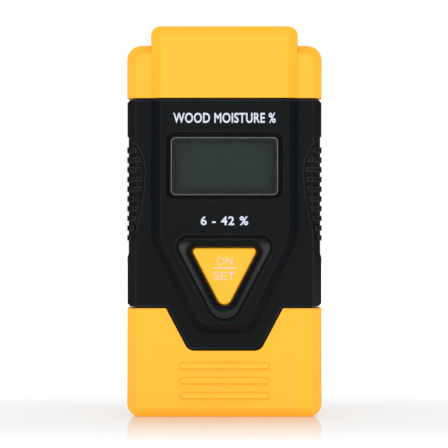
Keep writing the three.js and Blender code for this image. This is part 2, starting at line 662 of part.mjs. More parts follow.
function displayHolder() {
  const outer = rectangle(
    -HOLDER_WIDE / 2, HOLDER_WIDE / 2, DISPLAY_Z - HOLDER_TALL / 2, DISPLAY_Z + HOLDER_TALL / 2, 0.5);
  const inner = rectangle(
    -GLASS_WIDE / 2 - GAP, GLASS_WIDE / 2 + GAP,
    DISPLAY_Z - GLASS_TALL / 2 - GAP, DISPLAY_Z + GLASS_TALL / 2 + GAP);
  return prism(outer, "y", HOLDER_FRONT, HOLDER_BACK).subtract(prism(inner, "y", -REACH, REACH));
}

function displayGlass() {
  return block(-GLASS_WIDE / 2, GLASS_WIDE / 2, GLASS_FRONT, GLASS_BACK,
    DISPLAY_Z - GLASS_TALL / 2, DISPLAY_Z + GLASS_TALL / 2);
}

function contactStrip(side) {
  const [low, high] = mirrored(side, GLASS_TALL / 2 - STRIP_TALL, GLASS_TALL / 2);
  return block(1 - GLASS_WIDE / 2, GLASS_WIDE / 2 - 1, GLASS_BACK + GAP, HOLDER_BACK,
    DISPLAY_Z + low, DISPLAY_Z + high);
}

function circuitBoard() {
  const board = prism(
    rectangle(-BOARD_HALF, BOARD_HALF, BOARD_BOTTOM, BOARD_TOP, 1), "y", BOARD_FRONT, BOARD_BACK);
  const cutouts = [-1, 1].flatMap((side) => [
    rod(BOSS_RADIUS + GAP, "y", -REACH, REACH, side * SCREW_X, SCREW_Z),
    rod(BOARD_SCREW_RADIUS + GAP, "y", -REACH, REACH, side * BOARD_SCREW_X, BOARD_SCREW_Z),
  ]);
  return cutBy(board, cutouts);
}

const SWITCH_BACK = BOARD_FRONT - GAP;
const SWITCH_FRONT = SWITCH_BACK - SWITCH_TALL;
const PLUNGER_FRONT = GAP - INSIDE_FACE + BUTTON_FLANGE + GAP;

function switchBody() {
  const half = SWITCH_SIZE / 2;
  const body = block(-half, half, SWITCH_FRONT, SWITCH_BACK, SWITCH_Z - half, SWITCH_Z + half);
  return cutBy(body, [rod(PLUNGER_RADIUS + GAP, "y", -REACH, SWITCH_BACK - 0.4, 0, SWITCH_Z)]);
}

function switchPlunger() {
  return rod(PLUNGER_RADIUS, "y", PLUNGER_FRONT, SWITCH_BACK - 0.4 - BUTTON_TRAVEL - 0.2, 0, SWITCH_Z);
}

// Flat part soldered to the back of the board, centred on x and z.
function boardPart(x, z, wide, tall, thick) {
  return block(x - wide / 2, x + wide / 2, PARTS_BACK, PARTS_BACK + thick, z - tall / 2, z + tall / 2);
}

// Round can lying on the back of the board, along x.
function lyingCan(x, z, radius, length) {
  const circle = new THREE.Path().absarc(PARTS_BACK + radius, z, radius, 0, 2 * Math.PI);
  const shape = new THREE.Shape(circle.getPoints(2 * ARC_STEPS).slice(1));
  return prism(shape, "x", x - length / 2, x + length / 2);
}

function buzzer(x, z) {
  const can = rod(4.5, "y", PARTS_BACK, PARTS_BACK + 2.2, x, z);
  return can.subtract(rod(0.8, "y", PARTS_BACK + 1.6, REACH, x, z));
}

// ---- Pins ----

function pin(side) {
  const top = NECK_TOP + PIN_EXPOSED;
  const bottom = NECK_TOP - PIN_THREAD;
  return turned([
    [0, bottom], [PIN_THREAD_RADIUS, bottom], [PIN_THREAD_RADIUS, NECK_TOP],
    [PIN_RADIUS, NECK_TOP + 0.4], [PIN_RADIUS, top - PIN_POINT], [0, top],
  ], "z", [side * PIN_X, 0, 0]);
}

function pinSocket(side) {
  const bottom = CAVITY_TOP - SOCKET_BELOW;
  const bore = PIN_THREAD_RADIUS + GAP;
  const boreBottom = NECK_TOP - PIN_THREAD - GAP;
  return turned([
    [0, bottom], [SOCKET_RADIUS, bottom], [SOCKET_RADIUS, NECK_TOP - SOCKET_LIP],
    [SOCKET_FLANGE, NECK_TOP - SOCKET_LIP], [SOCKET_FLANGE, NECK_TOP], [bore, NECK_TOP],
    [bore, boreBottom], [0, boreBottom],
  ], "z", [side * PIN_X, 0, 0]);
}

function pinContact(side) {
  const top = CAVITY_TOP - SOCKET_BELOW - GAP;
  const foot = top - 3.7;
  const under = top - CONTACT_THICK;
  const shape = outline([
    [PARTS_BACK, foot], [PARTS_BACK + CONTACT_THICK, foot], [PARTS_BACK + CONTACT_THICK, under],
    [SOCKET_RADIUS, under], [SOCKET_RADIUS, top], [PARTS_BACK, top],
  ]);
  const middle = side * PIN_X;
  return prism(shape, "x", middle - CONTACT_WIDTH / 2, middle + CONTACT_WIDTH / 2);
}

// ---- Battery ----

function coinCell() {
  const inner = CELL_RADIUS - 1.2;
  return turned([
    [0, CELL_FRONT], [inner, CELL_FRONT], [inner + 0.3, CELL_FRONT + CELL_STEP],
    [CELL_RADIUS, CELL_FRONT + CELL_STEP], [CELL_RADIUS, CELL_BACK], [0, CELL_BACK],
  ], "y", [0, 0, CELL_Z]);
}

function negativeContact() {
  const plateBack = CELL_FRONT - GAP;
  const plateFront = plateBack - CONTACT_THICK;
  const leg = CELL_Z - 7;
  const shape = outline([
    [PARTS_BACK, leg], [plateBack, leg], [plateBack, leg + 9], [plateFront, leg + 9],
    [plateFront, leg + CONTACT_THICK], [PARTS_BACK, leg + CONTACT_THICK],
  ]);
  return prism(shape, "x", -CONTACT_WIDTH / 2, CONTACT_WIDTH / 2);
}

function positiveContact() {
  const x = CELL_RADIUS + GAP;
  return block(x, x + CONTACT_THICK, PARTS_BACK, CELL_BACK,
    CELL_Z - CONTACT_WIDTH / 2, CELL_Z + CONTACT_WIDTH / 2);
}

// ---- Screws ----

// Pan head screw along y or z; the head's flat end is at top and the tip at tip.
function screw(radius, head, headTall, axis, top, tip, x, across) {
  const up = Math.sign(top - tip);
  const under = top - up * headTall;
  const profile = [
    [0, tip], [radius * 0.5, tip], [radius, tip + up * radius], [radius, under],
    [head, under], [head, top - up * 0.4], [head - 0.4, top], [0, top],
  ];
  const ordered = up > 0 ? profile : [...profile].reverse();
  const body = turned(ordered, axis, axis === "y" ? [x, 0, across] : [x, across, 0]);
  const [low, high] = up > 0 ? [top - headTall * 0.6, top + 1] : [top - 1, top + headTall * 0.6];
  const long = head * 0.65;
  const thin = head * 0.17;
  const slots = [[long, thin], [thin, long]].map(([a, b]) => (axis === "y"
    ? block(x - a, x + a, low, high, across - b, across + b)
    : block(x - a, x + a, across - b, across + b, low, high)));
  return cutBy(body, slots);
}

function caseScrew(side) {
  const top = FACE_Y - GAP;
  return screw(SCREW_RADIUS, SCREW_HEAD, SCREW_HEAD_TALL, "y", top, FACE_WALL - INSIDE_FACE,
    side * SCREW_X, SCREW_Z);
}

function tailScrew(side) {
  return screw(SCREW_RADIUS, SCREW_HEAD, SCREW_HEAD_TALL, "z", GAP, GAP + TAIL_SCREW_LENGTH,
    side * TAIL_SCREW_X, TAIL_SCREW_Y);
}

function boardScrew(side) {
  const top = BOARD_BACK + GAP + 1;
  return screw(BOARD_SCREW_RADIUS, BOARD_SCREW_HEAD, 1, "y", top, GAP - INSIDE_FLANK,
    side * BOARD_SCREW_X, BOARD_SCREW_Z);
}

// ---- Materials ----

const surface = (color, roughness, metalness = 0) => () => (
  new THREE.MeshStandardMaterial({ color, roughness, metalness })
);
const yellowPlastic = surface(0xfbd047, 0.45);
const blackPlastic = surface(0x202124, 0.5);
const tintedAcrylic = surface(0x303a34, 0.1);
const greyGlass = surface(0x6d7a70, 0.15);
const whitePlastic = surface(0xe8e8e2, 0.6);
const pinkRubber = surface(0xc9a08f, 0.8);
const greenBoard = surface(0x1e5c36, 0.4);
const darkResin = surface(0x141414, 0.55);
const brass = surface(0xb5954f, 0.3, 1);
const steel = surface(0xb9bcc0, 0.3, 1);
const blueSleeve = surface(0x24406e, 0.4);

// ---- The meter ----

const meter = new THREE.Group();
meter.position.y = BEZEL_PROUD / 2; // centres the meter from bezel to back

function addPiece(name, solid, material) {
  const mesh = new THREE.Mesh(geometryOf(solid), material());
  mesh.name = name;
  meter.add(mesh);
}

addPiece("pin_cap", pinCap(), yellowPlastic);
addPiece("front_cover", frontCover(), blackPlastic);
addPiece("rear_cover", rearCover(), blackPlastic);
addPiece("tail_cap", tailCap(), yellowPlastic);
addPiece("display_window", displayWindow(), tintedAcrylic);
addPiece("button", button(), yellowPlastic);
addPiece("battery_door", batteryDoor(), blackPlastic);
addPiece("lcd_glass", displayGlass(), greyGlass);
addPiece("lcd_holder", displayHolder(), whitePlastic);
addPiece("lcd_strip_upper", contactStrip(1), pinkRubber);
addPiece("lcd_strip_lower", contactStrip(-1), pinkRubber);
addPiece("circuit_board", circuitBoard(), greenBoard);
addPiece("switch_body", switchBody(), darkResin);
addPiece("switch_plunger", switchPlunger(), whitePlastic);
addPiece("controller_chip", boardPart(0, DISPLAY_Z - 5, 7, 7, 1), darkResin);
addPiece("crystal", lyingCan(-10, DISPLAY_Z - 1, 1, 6), steel);
addPiece("capacitor", lyingCan(10, DISPLAY_Z - 1, 1.4, 5), blueSleeve);
addPiece("buzzer", buzzer(BUZZER_X, BUZZER_Z), darkResin);
RESISTOR_ROWS.forEach((row, i) => {
  addPiece(`resistor_${i + 1}`, boardPart(-BUZZER_X, BUZZER_Z + row, 2, 1.2, 0.5), darkResin);
});
addPiece("coin_cell", coinCell(), steel);
addPiece("battery_contact_positive", positiveContact(), steel);
addPiece("battery_contact_negative", negativeContact(), steel);
for (const [side, hand] of [[-1, "left"], [1, "right"]]) {
  addPiece(`pin_${hand}`, pin(side), steel);
  addPiece(`pin_socket_${hand}`, pinSocket(side), brass);
  addPiece(`pin_contact_${hand}`, pinContact(side), brass);
  addPiece(`case_screw_${hand}`, caseScrew(side), steel);
  addPiece(`tail_screw_${hand}`, tailScrew(side), steel);
  addPiece(`board_screw_${hand}`, boardScrew(side), steel);
}

export default meter;
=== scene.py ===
"""Looks of a pocket moisture meter: moulded yellow and black plastic around a small display."""

import math

import bpy
from mathutils import Matrix, Vector


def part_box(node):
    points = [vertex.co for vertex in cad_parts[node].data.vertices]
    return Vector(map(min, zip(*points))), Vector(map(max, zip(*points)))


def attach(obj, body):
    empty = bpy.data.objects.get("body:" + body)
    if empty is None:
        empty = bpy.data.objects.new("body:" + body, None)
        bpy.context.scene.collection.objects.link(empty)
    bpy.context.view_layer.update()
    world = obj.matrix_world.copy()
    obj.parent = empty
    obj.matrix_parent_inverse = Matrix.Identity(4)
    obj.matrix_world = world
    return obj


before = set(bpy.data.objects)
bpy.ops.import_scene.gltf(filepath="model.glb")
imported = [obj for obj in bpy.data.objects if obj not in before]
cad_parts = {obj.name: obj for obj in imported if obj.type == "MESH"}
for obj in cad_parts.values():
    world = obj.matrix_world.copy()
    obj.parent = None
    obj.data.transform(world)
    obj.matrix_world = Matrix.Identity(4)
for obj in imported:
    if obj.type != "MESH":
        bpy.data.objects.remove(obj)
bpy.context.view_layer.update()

MM = 0.001

# ---- Places taken from the moulded parts ----

BEZEL_PROUD = 0.8 * MM  # button bezel above the raised face
FLANGE = 0.8 * MM  # hidden rim of the button, inside the case

cover_low, cover_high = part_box("front_cover")
window_low, window_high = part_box("display_window")
button_low, button_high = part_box("button")
cell_low, cell_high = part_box("coin_cell")
cap_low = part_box("pin_cap")[0]
tail_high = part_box("tail_cap")[1]
seam_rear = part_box("rear_cover")[0].y

FACE_Y = cover_low.y + BEZEL_PROUD
WINDOW_Z = (window_low.z + window_high.z) / 2
BUTTON_TOP = button_high.z - FLANGE
CELL_Z = (cell_low.z + cell_high.z) / 2

# ---- Node trees ----


def add(tree, kind, **settings):
    """A new node with its own settings and, by socket name, its input values."""
    node = tree.nodes.new("ShaderNode" + kind)
    for name, value in settings.items():
        if hasattr(node, name):
            setattr(node, name, value)
        else:
            node.inputs[name.replace("_", " ")].default_value = value
    return node


def link(tree, source, target):
    tree.links.new(source, target)
    return target


def math_node(tree, operation, first, second=None, clamp=False):
    """One sum on two sockets or numbers."""
    node = add(tree, "Math", operation=operation, use_clamp=clamp)
    for place, value in enumerate((first, second)):
        if value is None:
            continue
        if isinstance(value, (int, float)):
            node.inputs[place].default_value = value
        else:
            link(tree, value, node.inputs[place])
    return node.outputs[0]


def between(tree, value, low, high, out_low=0.0, out_high=1.0, ends="SMOOTHSTEP"):
    """Value brought from low..high to out_low..out_high, held at both ends."""
    node = add(tree, "MapRange", interpolation_type=ends)
    link(tree, value, node.inputs["Value"])
    limits = (("From Min", low), ("From Max", high), ("To Min", out_low), ("To Max", out_high))
    for name, number in limits:
        if isinstance(number, (int, float)):
            node.inputs[name].default_value = number
        else:
            link(tree, number, node.inputs[name])
    return node.outputs["Result"]


def blend_colour(tree, factor, first, second, mode="MIX"):
    """Two colours mixed by a factor; each may be a socket or a plain colour."""
    node = add(tree, "Mix", data_type="RGBA", blend_type=mode)
    sockets = [s for s in node.inputs if s.enabled and s.name in ("Factor", "A", "B")]
    for socket, value in zip(sockets, (factor, first, second)):
        if isinstance(value, bpy.types.NodeSocket):
            link(tree, value, socket)
        elif isinstance(value, (int, float)):
            socket.default_value = value
        else:
            socket.default_value = (*value, 1)
    return next(s for s in node.outputs if s.enabled)


def noise(tree, where, scale, detail=3.0, roughness=0.5):
    node = add(tree, "TexNoise", Detail=detail, Roughness=roughness)
    link(tree, where, node.inputs["Vector"])
    if isinstance(scale, (int, float)):
        node.inputs["Scale"].default_value = scale
    else:
        link(tree, scale, node.inputs["Scale"])
    return node.outputs["Fac"]


def stretched(tree, stretch, location=(0, 0, 0)):
    """Object coordinates, moved and then stretched by a factor along each axis."""
    place = add(tree, "TexCoord")
    mapping = add(tree, "Mapping", vector_type="POINT")
    mapping.inputs["Location"].default_value = [-s * l for s, l in zip(stretch, location)]
    mapping.inputs["Scale"].default_value = stretch
    link(tree, place.outputs["Object"], mapping.inputs["Vector"])
    return mapping.outputs["Vector"]


def new_group(name, takes, gives):
    """An empty node group with named sockets; takes holds (name, kind, value)."""
    group = bpy.data.node_groups.new(name, "ShaderNodeTree")
    for label, kind, value in takes:
        socket = group.interface.new_socket(label, in_out="INPUT", socket_type="NodeSocket" + kind)
        socket.default_value = value
    for label, kind in gives:
        group.interface.new_socket(label, in_out="OUTPUT", socket_type="NodeSocket" + kind)
    enter = group.nodes.new("NodeGroupInput")
    leave = group.nodes.new("NodeGroupOutput")
    return group, enter.outputs, leave.inputs


def moulded_skin_group():
    """Spark-eroded grain of a moulding: slow drift in shade and gloss over a fine even texture."""
    group, enter, leave = new_group(
        "moulded skin",
        [("Color", "Color", (0.5, 0.5, 0.5, 1)), ("Shade", "Float", 0.04),
         ("Roughness", "Float", 0.45), ("Grain Size", "Float", 4500.0), ("Pits", "Float", 0.3)],
        [("Color", "Color"), ("Roughness", "Float"), ("Height", "Float")])
    where = add(group, "TexCoord").outputs["Object"]
    drift = noise(group, where, 55.0, 4.0, 0.55)
    grain = noise(group, where, enter["Grain Size"], 2.0, 0.6)
    cells = add(group, "TexVoronoi", feature="F1", distance="EUCLIDEAN")
    link(group, where, cells.inputs["Vector"])
    link(group, math_node(group, "MULTIPLY", enter["Grain Size"], 0.55), cells.inputs["Scale"])
    pits = between(group, cells.outputs["Distance"], 0.0, 0.45)
    centred = math_node(group, "SUBTRACT", drift, 0.5)
    shade = math_node(group, "MULTIPLY_ADD", centred, enter["Shade"])
    shade.node.inputs[2].default_value = 1.0
    speck = math_node(
        group, "MULTIPLY", math_node(group, "SUBTRACT", grain, 0.5), enter["Shade"])
    level = math_node(group, "ADD", shade, speck)
    tint = add(group, "CombineColor")
    for channel in ("Red", "Green", "Blue"):
        link(group, level, tint.inputs[channel])
    shaded = blend_colour(group, 1.0, enter["Color"], tint.outputs["Color"], "MULTIPLY")
    link(group, shaded, leave["Color"])
    gloss = math_node(group, "MULTIPLY", centred, 0.22)
    fine = math_node(group, "MULTIPLY", math_node(group, "SUBTRACT", grain, 0.5), 0.12)
    gloss = math_node(group, "ADD", gloss, fine)
    link(group, math_node(group, "ADD", enter["Roughness"], gloss, clamp=True),
         leave["Roughness"])
    dips = math_node(group, "MULTIPLY", pits, enter["Pits"])
    link(group, math_node(group, "ADD", grain, dips), leave["Height"])
    return group


def edge_wear_and_sheen_group():
    """Mask of the outward edges, lighter partly as wear that hands and pockets polish and partly as
    a painted edge highlight, broken up so it is never even.
    """
    group, enter, leave = new_group(
        "edge wear and sheen",
        [("Reach", "Float", 0.4 * MM), ("Amount", "Float", 0.5), ("Broken", "Float", 260.0)],
        [("Mask", "Float")])
    thin = add(group, "AmbientOcclusion", samples=8, inside=True, only_local=True)
    link(group, enter["Reach"], thin.inputs["Distance"])
    edge = between(group, thin.outputs["AO"], 0.97, 0.72)
    where = add(group, "TexCoord").outputs["Object"]
    uneven = noise(group, where, enter["Broken"], 5.0, 0.65)
    broken = between(group, uneven, 0.3, 0.6, 0.35, 1.0)
    mask = math_node(group, "MULTIPLY", edge, broken)
    link(group, math_node(group, "MULTIPLY", mask, enter["Amount"], clamp=True), leave["Mask"])
    return group


def hairlines_group():
    """Fine drawn scratches on sheet and turned metal, run along the least stretched axis."""
    group, enter, leave = new_group(
        "hairlines",
        [("Run", "Vector", (1.0, 1.0, 1.0)), ("Depth", "Float", 0.3), ("Roughness", "Float", 0.3)],
        [("Roughness", "Float"), ("Height", "Float")])
    where = add(group, "TexCoord").outputs["Object"]
    scaled = add(group, "VectorMath", operation="MULTIPLY")
    link(group, where, scaled.inputs[0])
    link(group, enter["Run"], scaled.inputs[1])
    lines = noise(group, scaled.outputs["Vector"], 900.0, 4.0, 0.7)
    smudge = noise(group, where, 160.0, 3.0, 0.5)
    rise = math_node(group, "MULTIPLY", math_node(group, "SUBTRACT", lines, 0.5), 0.2)
    patch = math_node(group, "MULTIPLY", math_node(group, "SUBTRACT", smudge, 0.5), 0.18)
    gloss = math_node(group, "ADD", enter["Roughness"], math_node(group, "ADD", rise, patch))
    link(group, math_node(group, "MAXIMUM", gloss, 0.08), leave["Roughness"])
    link(group, math_node(group, "MULTIPLY", lines, enter["Depth"]), leave["Height"])
    return group


MOULDED_SKIN = moulded_skin_group()
EDGE_WEAR_AND_SHEEN = edge_wear_and_sheen_group()
HAIRLINES = hairlines_group()


def use_group(tree, group, **values):
    node = tree.nodes.new("ShaderNodeGroup")
    node.node_tree = group
    for name, value in values.items():
        socket = node.inputs[name.replace("_", " ")]
        if isinstance(value, bpy.types.NodeSocket):
            link(tree, value, socket)
        else:
            socket.default_value = value
    return node.outputs


def start_material(name, **sockets):
    """A material with its Principled shader and the plain values set on that shader's sockets."""
    material = bpy.data.materials.new(name)
    material.use_nodes = True
    tree = material.node_tree
    shader = tree.nodes["Principled BSDF"]
    for label, value in sockets.items():
        shader.inputs[label.replace("_", " ")].default_value = value
    return material, tree, shader


def bumped(tree, shader, height, distance, strength=1.0, rounding=None):
    """Feeds a height to the shader's normal, over edges rounded by a radius if one is given."""
    bump = add(tree, "Bump", Strength=strength, Distance=distance)
    link(tree, height, bump.inputs["Height"])
    if rounding:
        soft = add(tree, "Bevel", samples=4)
        soft.inputs["Radius"].default_value = rounding
        link(tree, soft.outputs["Normal"], bump.inputs["Normal"])
    link(tree, bump.outputs["Normal"], shader.inputs["Normal"])


def moulded_plastic(name, colour, worn_sheen, roughness, shade=0.05, grain=4500.0, pits=0.3,
                    depth=0.004, wear_and_sheen=0.35, wear_and_sheen_reach=0.35, rounding=None, specular=0.5,
                    painted_highlight=None):
    """Grained moulded plastic whose outward edges go lighter with wear and a painted edge
    highlight, and with a painted highlight wherever a further mask is given.
    """
    material, tree, shader = start_material(name, Specular_IOR_Level=specular)
    skin = use_group(tree, MOULDED_SKIN, Color=(*colour, 1), Shade=shade, Roughness=roughness,
                     Grain_Size=grain, Pits=pits)
    edge = use_group(tree, EDGE_WEAR_AND_SHEEN, Reach=wear_and_sheen_reach * MM, Amount=wear_and_sheen)["Mask"]
    # A painted highlight from the given mask lightens the plastic like its edges.
    if painted_highlight:
        edge = math_node(tree, "MAXIMUM", edge, painted_highlight(tree))
    # Lighter edges: wear together with a painted edge highlight.
    link(tree, blend_colour(tree, edge, skin["Color"], worn_sheen), shader.inputs["Base Color"])
    smoother = math_node(tree, "MULTIPLY", edge, -0.15)
    link(tree, math_node(tree, "ADD", skin["Roughness"], smoother, clamp=True),
         shader.inputs["Roughness"])
    bumped(tree, shader, skin["Height"], depth * MM, 1.0, rounding)
    return material


def bezel_crest_highlight(tree):
    """Mask of a painted highlight along the raised crest beside the key, brightest at its upper
    corners.
    """
    split = add(tree, "SeparateXYZ")
    link(tree, stretched(tree, (1, 1, 1)), split.inputs[0])
    raised = between(tree, split.outputs["Y"], FACE_Y - 0.45 * MM, FACE_Y - 0.78 * MM)
    beside = between(tree, split.outputs["Z"], BUTTON_TOP + 1.5 * MM, BUTTON_TOP + 0.4 * MM)
    # Painted highlight fades towards the tip of the key.
    brighter_upward = between(tree, split.outputs["Z"], button_low.z, BUTTON_TOP, 0.45, 1.0)
    cloud = noise(tree, stretched(tree, (1, 1, 1)), 500.0, 4.0, 0.6)
    patchy = between(tree, cloud, 0.25, 0.6, 0.7, 1.0)
    return math_node(tree, "MULTIPLY", math_node(tree, "MULTIPLY", raised, beside),
                     math_node(tree, "MULTIPLY", brighter_upward, patchy))


def metal(name, colour, tarnish, roughness, run=(1, 1, 1), depth=0.3):
    """Plated or plain metal with hairlines and a faint uneven tarnish."""
    material, tree, shader = start_material(name, Metallic=1.0)
    lines = use_group(tree, HAIRLINES, Run=run, Depth=depth, Roughness=roughness)
    where = stretched(tree, (1, 1, 1))
    patch = between(tree, noise(tree, where, 320.0, 5.0, 0.6), 0.45, 0.8, 0.0, 0.35)
    link(tree, blend_colour(tree, patch, colour, tarnish), shader.inputs["Base Color"])
    link(tree, lines["Roughness"], shader.inputs["Roughness"])
    bumped(tree, shader, lines["Height"], 0.004 * MM)
    return material


def display_glass():
    """Dark green-grey of a switched-off liquid crystal, with painted shade deepening towards the
    frame that shades it.
    """
    material, tree, shader = start_material("display glass", Specular_IOR_Level=0.12)
    half_x = (window_high.x - window_low.x) / 2
    half_z = (window_high.z - window_low.z) / 2
    place = stretched(tree, (1, 1, 1), (0, 0, WINDOW_Z))
    split = add(tree, "SeparateXYZ")
    link(tree, place, split.inputs[0])
    across = math_node(tree, "SUBTRACT", half_x, math_node(tree, "ABSOLUTE", split.outputs["X"]))
    down = math_node(tree, "SUBTRACT", half_z, math_node(tree, "ABSOLUTE", split.outputs["Z"]))
    # Painted shade: darker towards the display's edges, where the frame shades it.
    lit_x = between(tree, across, 0.7 * MM, 2.5 * MM)
    lit_z = between(tree, down, 0.5 * MM, 2.1 * MM)
    centre = math_node(tree, "MULTIPLY", lit_x, lit_z)
    cloud = noise(tree, place, 90.0, 3.0, 0.5)
    level = math_node(tree, "MULTIPLY", centre, between(tree, cloud, 0.2, 0.8, 0.88, 1.0))
    link(tree, blend_colour(tree, level, LCD_SHADED_EDGE, LCD_CENTRE), shader.inputs["Base Color"])
    fine = noise(tree, place, 5200.0, 2.0, 0.5)
    link(tree, between(tree, fine, 0.2, 0.8, 0.28, 0.42), shader.inputs["Roughness"])
    bumped(tree, shader, fine, 0.0015 * MM)
    return material


def window_plastic():
    """Clear moulded lens with a faint green-grey body and a few hairline scuffs."""
    material, tree, shader = start_material(
        "window plastic", Alpha=0.1, Specular_IOR_Level=0.35, IOR=1.49)
    lines = use_group(tree, HAIRLINES, Run=(0.25, 1.0, 1.6), Depth=0.2, Roughness=0.12)
    where = stretched(tree, (1, 1, 1))
    tint = blend_colour(tree, noise(tree, where, 120.0), (0.030, 0.036, 0.034), (0.05, 0.06, 0.055))
    link(tree, tint, shader.inputs["Base Color"])
    link(tree, lines["Roughness"], shader.inputs["Roughness"])
    bumped(tree, shader, lines["Height"], 0.0008 * MM)
    return material


def printed_ink(name, colour, thin):
    """Pad-printed ink: slightly uneven cover with soft specks where the base shows."""
    material, tree, shader = start_material(name, Specular_IOR_Level=0.35)
    where = stretched(tree, (1, 1, 1))
    cover = between(tree, noise(tree, where, 2600.0, 4.0, 0.65), 0.25, 0.5)
    link(tree, blend_colour(tree, cover, thin, colour), shader.inputs["Base Color"])
    link(tree, between(tree, cover, 0.0, 1.0, 0.62, 0.45), shader.inputs["Roughness"])
    bumped(tree, shader, cover, 0.003 * MM)
    return material


def board_laminate():
    """Green solder mask with raised copper tracks running under it and a woven glass core."""
    material, tree, shader = start_material("board laminate", Specular_IOR_Level=0.5)
    where = stretched(tree, (1, 1, 1))
    tracks = add(tree, "TexBrick", offset=0.5, squash=1.0, Scale=260.0)
    tracks.inputs["Mortar Size"].default_value = 0.06
    tracks.inputs["Brick Width"].default_value = 1.3
    tracks.inputs["Row Height"].default_value = 0.33
    turned = add(tree, "Mapping", vector_type="POINT")
    turned.inputs["Rotation"].default_value = (math.pi / 2, 0, 0)
    link(tree, where, turned.inputs["Vector"])
    link(tree, turned.outputs["Vector"], tracks.inputs["Vector"])
    copper = tracks.outputs["Fac"]
    weave = noise(tree, stretched(tree, (1, 1, 3)), 1500.0, 2.0, 0.5)
    mask = blend_colour(tree, weave, (0.010, 0.085, 0.030), (0.014, 0.115, 0.045))
    link(tree, blend_colour(tree, copper, mask, (0.045, 0.22, 0.07)), shader.inputs["Base Color"])
    link(tree, between(tree, weave, 0.2, 0.8, 0.28, 0.4), shader.inputs["Roughness"])
    height = math_node(tree, "ADD", copper, math_node(tree, "MULTIPLY", weave, 0.2))
    bumped(tree, shader, height, 0.03 * MM)
    return material


def striped(name, first, second, axis, pitch, roughness, share=0.5):
    """Two colours in stripes across one axis, such as an elastomer strip or printed sleeve."""
    material, tree, shader = start_material(name)
    split = add(tree, "SeparateXYZ")
    link(tree, stretched(tree, (1, 1, 1)), split.inputs[0])
    turns = math_node(tree, "MULTIPLY", split.outputs[axis], 1 / pitch)
    step = math_node(tree, "FRACT", turns)
    stripe = between(tree, step, share - 0.06, share + 0.06)
    link(tree, blend_colour(tree, stripe, first, second), shader.inputs["Base Color"])
    fine = noise(tree, stretched(tree, (1, 1, 1)), 3000.0)
    link(tree, between(tree, fine, 0.2, 0.8, roughness - 0.06, roughness + 0.06),
         shader.inputs["Roughness"])
    bumped(tree, shader, fine, 0.003 * MM)
    return material


YELLOW = (0.96, 0.458, 0.014)
# The lighter edge colours stand for wear and for a painted edge highlight.
YELLOW_WORN_SHEEN = (0.97, 0.48, 0.026)
BLACK = (0.0030, 0.0046, 0.0062)
BLACK_WORN_SHEEN = (0.034, 0.035, 0.039)
# The display's darker edge colour is painted shade from its frame.
LCD_CENTRE = (0.0125, 0.0275, 0.0180)
LCD_SHADED_EDGE = (0.0014, 0.0048, 0.0036)

MATERIALS = {
    "yellow_plastic": moulded_plastic(
        "yellow plastic", YELLOW, YELLOW_WORN_SHEEN, 0.42, shade=0.035, grain=4800.0, depth=0.004,
        wear_and_sheen=0.25, rounding=0.45 * MM, specular=0.34),
    "black_plastic": moulded_plastic(
        "black plastic", BLACK, BLACK_WORN_SHEEN, 0.5, shade=0.12, grain=4200.0, pits=0.5, depth=0.006,
        wear_and_sheen=0.5, wear_and_sheen_reach=0.45, rounding=0.25 * MM, specular=0.12),
    # The front cover also takes a painted highlight along the key's bezel crest.
    "black_front": moulded_plastic(
        "black front plastic", BLACK, BLACK_WORN_SHEEN, 0.5, shade=0.12, grain=4200.0, pits=0.5,
        depth=0.006, wear_and_sheen=0.5, wear_and_sheen_reach=0.45, rounding=0.25 * MM, specular=0.12,
        painted_highlight=bezel_crest_highlight),
    "window": window_plastic(),
    "lcd": display_glass(),
    "white_plastic": moulded_plastic(
        "white plastic", (0.55, 0.55, 0.52), (0.62, 0.62, 0.6), 0.45, shade=0.04),
    "contact_rubber": striped(
        "contact rubber", (0.55, 0.30, 0.27), (0.02, 0.02, 0.02), "X", 0.25 * MM, 0.7),
    "board": board_laminate(),
    "dark_resin": moulded_plastic(
        "dark resin", (0.018, 0.018, 0.019), (0.05, 0.05, 0.05), 0.55, shade=0.2, grain=7000.0),
    "blue_sleeve": striped(
        "blue sleeve", (0.02, 0.07, 0.28), (0.45, 0.52, 0.62), "X", 6.3 * MM, 0.35, 0.86),
    "steel": metal("steel", (0.62, 0.61, 0.58), (0.42, 0.39, 0.34), 0.28, (1.0, 1.0, 0.12)),
    "brass": metal("brass", (0.78, 0.56, 0.24), (0.5, 0.33, 0.14), 0.25, (0.15, 1.0, 1.0)),
}
WHITE_INK = printed_ink("white ink", (0.60, 0.64, 0.76), (0.40, 0.43, 0.50))
PALE_INK = printed_ink("pale ink", (0.80, 0.53, 0.36), (0.85, 0.49, 0.20))
ETCHED = metal("etched steel", (0.20, 0.19, 0.18), (0.14, 0.13, 0.12), 0.5)
# Pale rim colour: a painted highlight along the edge of the lens.
RIM_HIGHLIGHT_PLASTIC = moulded_plastic(
    "window rim highlight", (0.074, 0.084, 0.079), (0.12, 0.13, 0.125), 0.3, shade=0.3, grain=900.0,
    depth=0.002)

# ---- Moulded parts that keep their own shape ----

EDGE_WIDTHS = {
    "pin_cap": (0.3, 3), "tail_cap": (0.26, 3), "front_cover": (0.2, 2), "rear_cover": (0.2, 2),
    "button": (0.25, 3), "battery_door": (0.2, 3), "display_window": (0.1, 2),
}  # widest rounding in mm, and steps in it
INNER_EDGE = (0.06, 2)
WELD_REACH = 0.02 * MM  # joins corners closer than this, which would stop the rounding
FLAT_WITHIN = math.radians(0.5)
SHARP_FROM = math.radians(25)


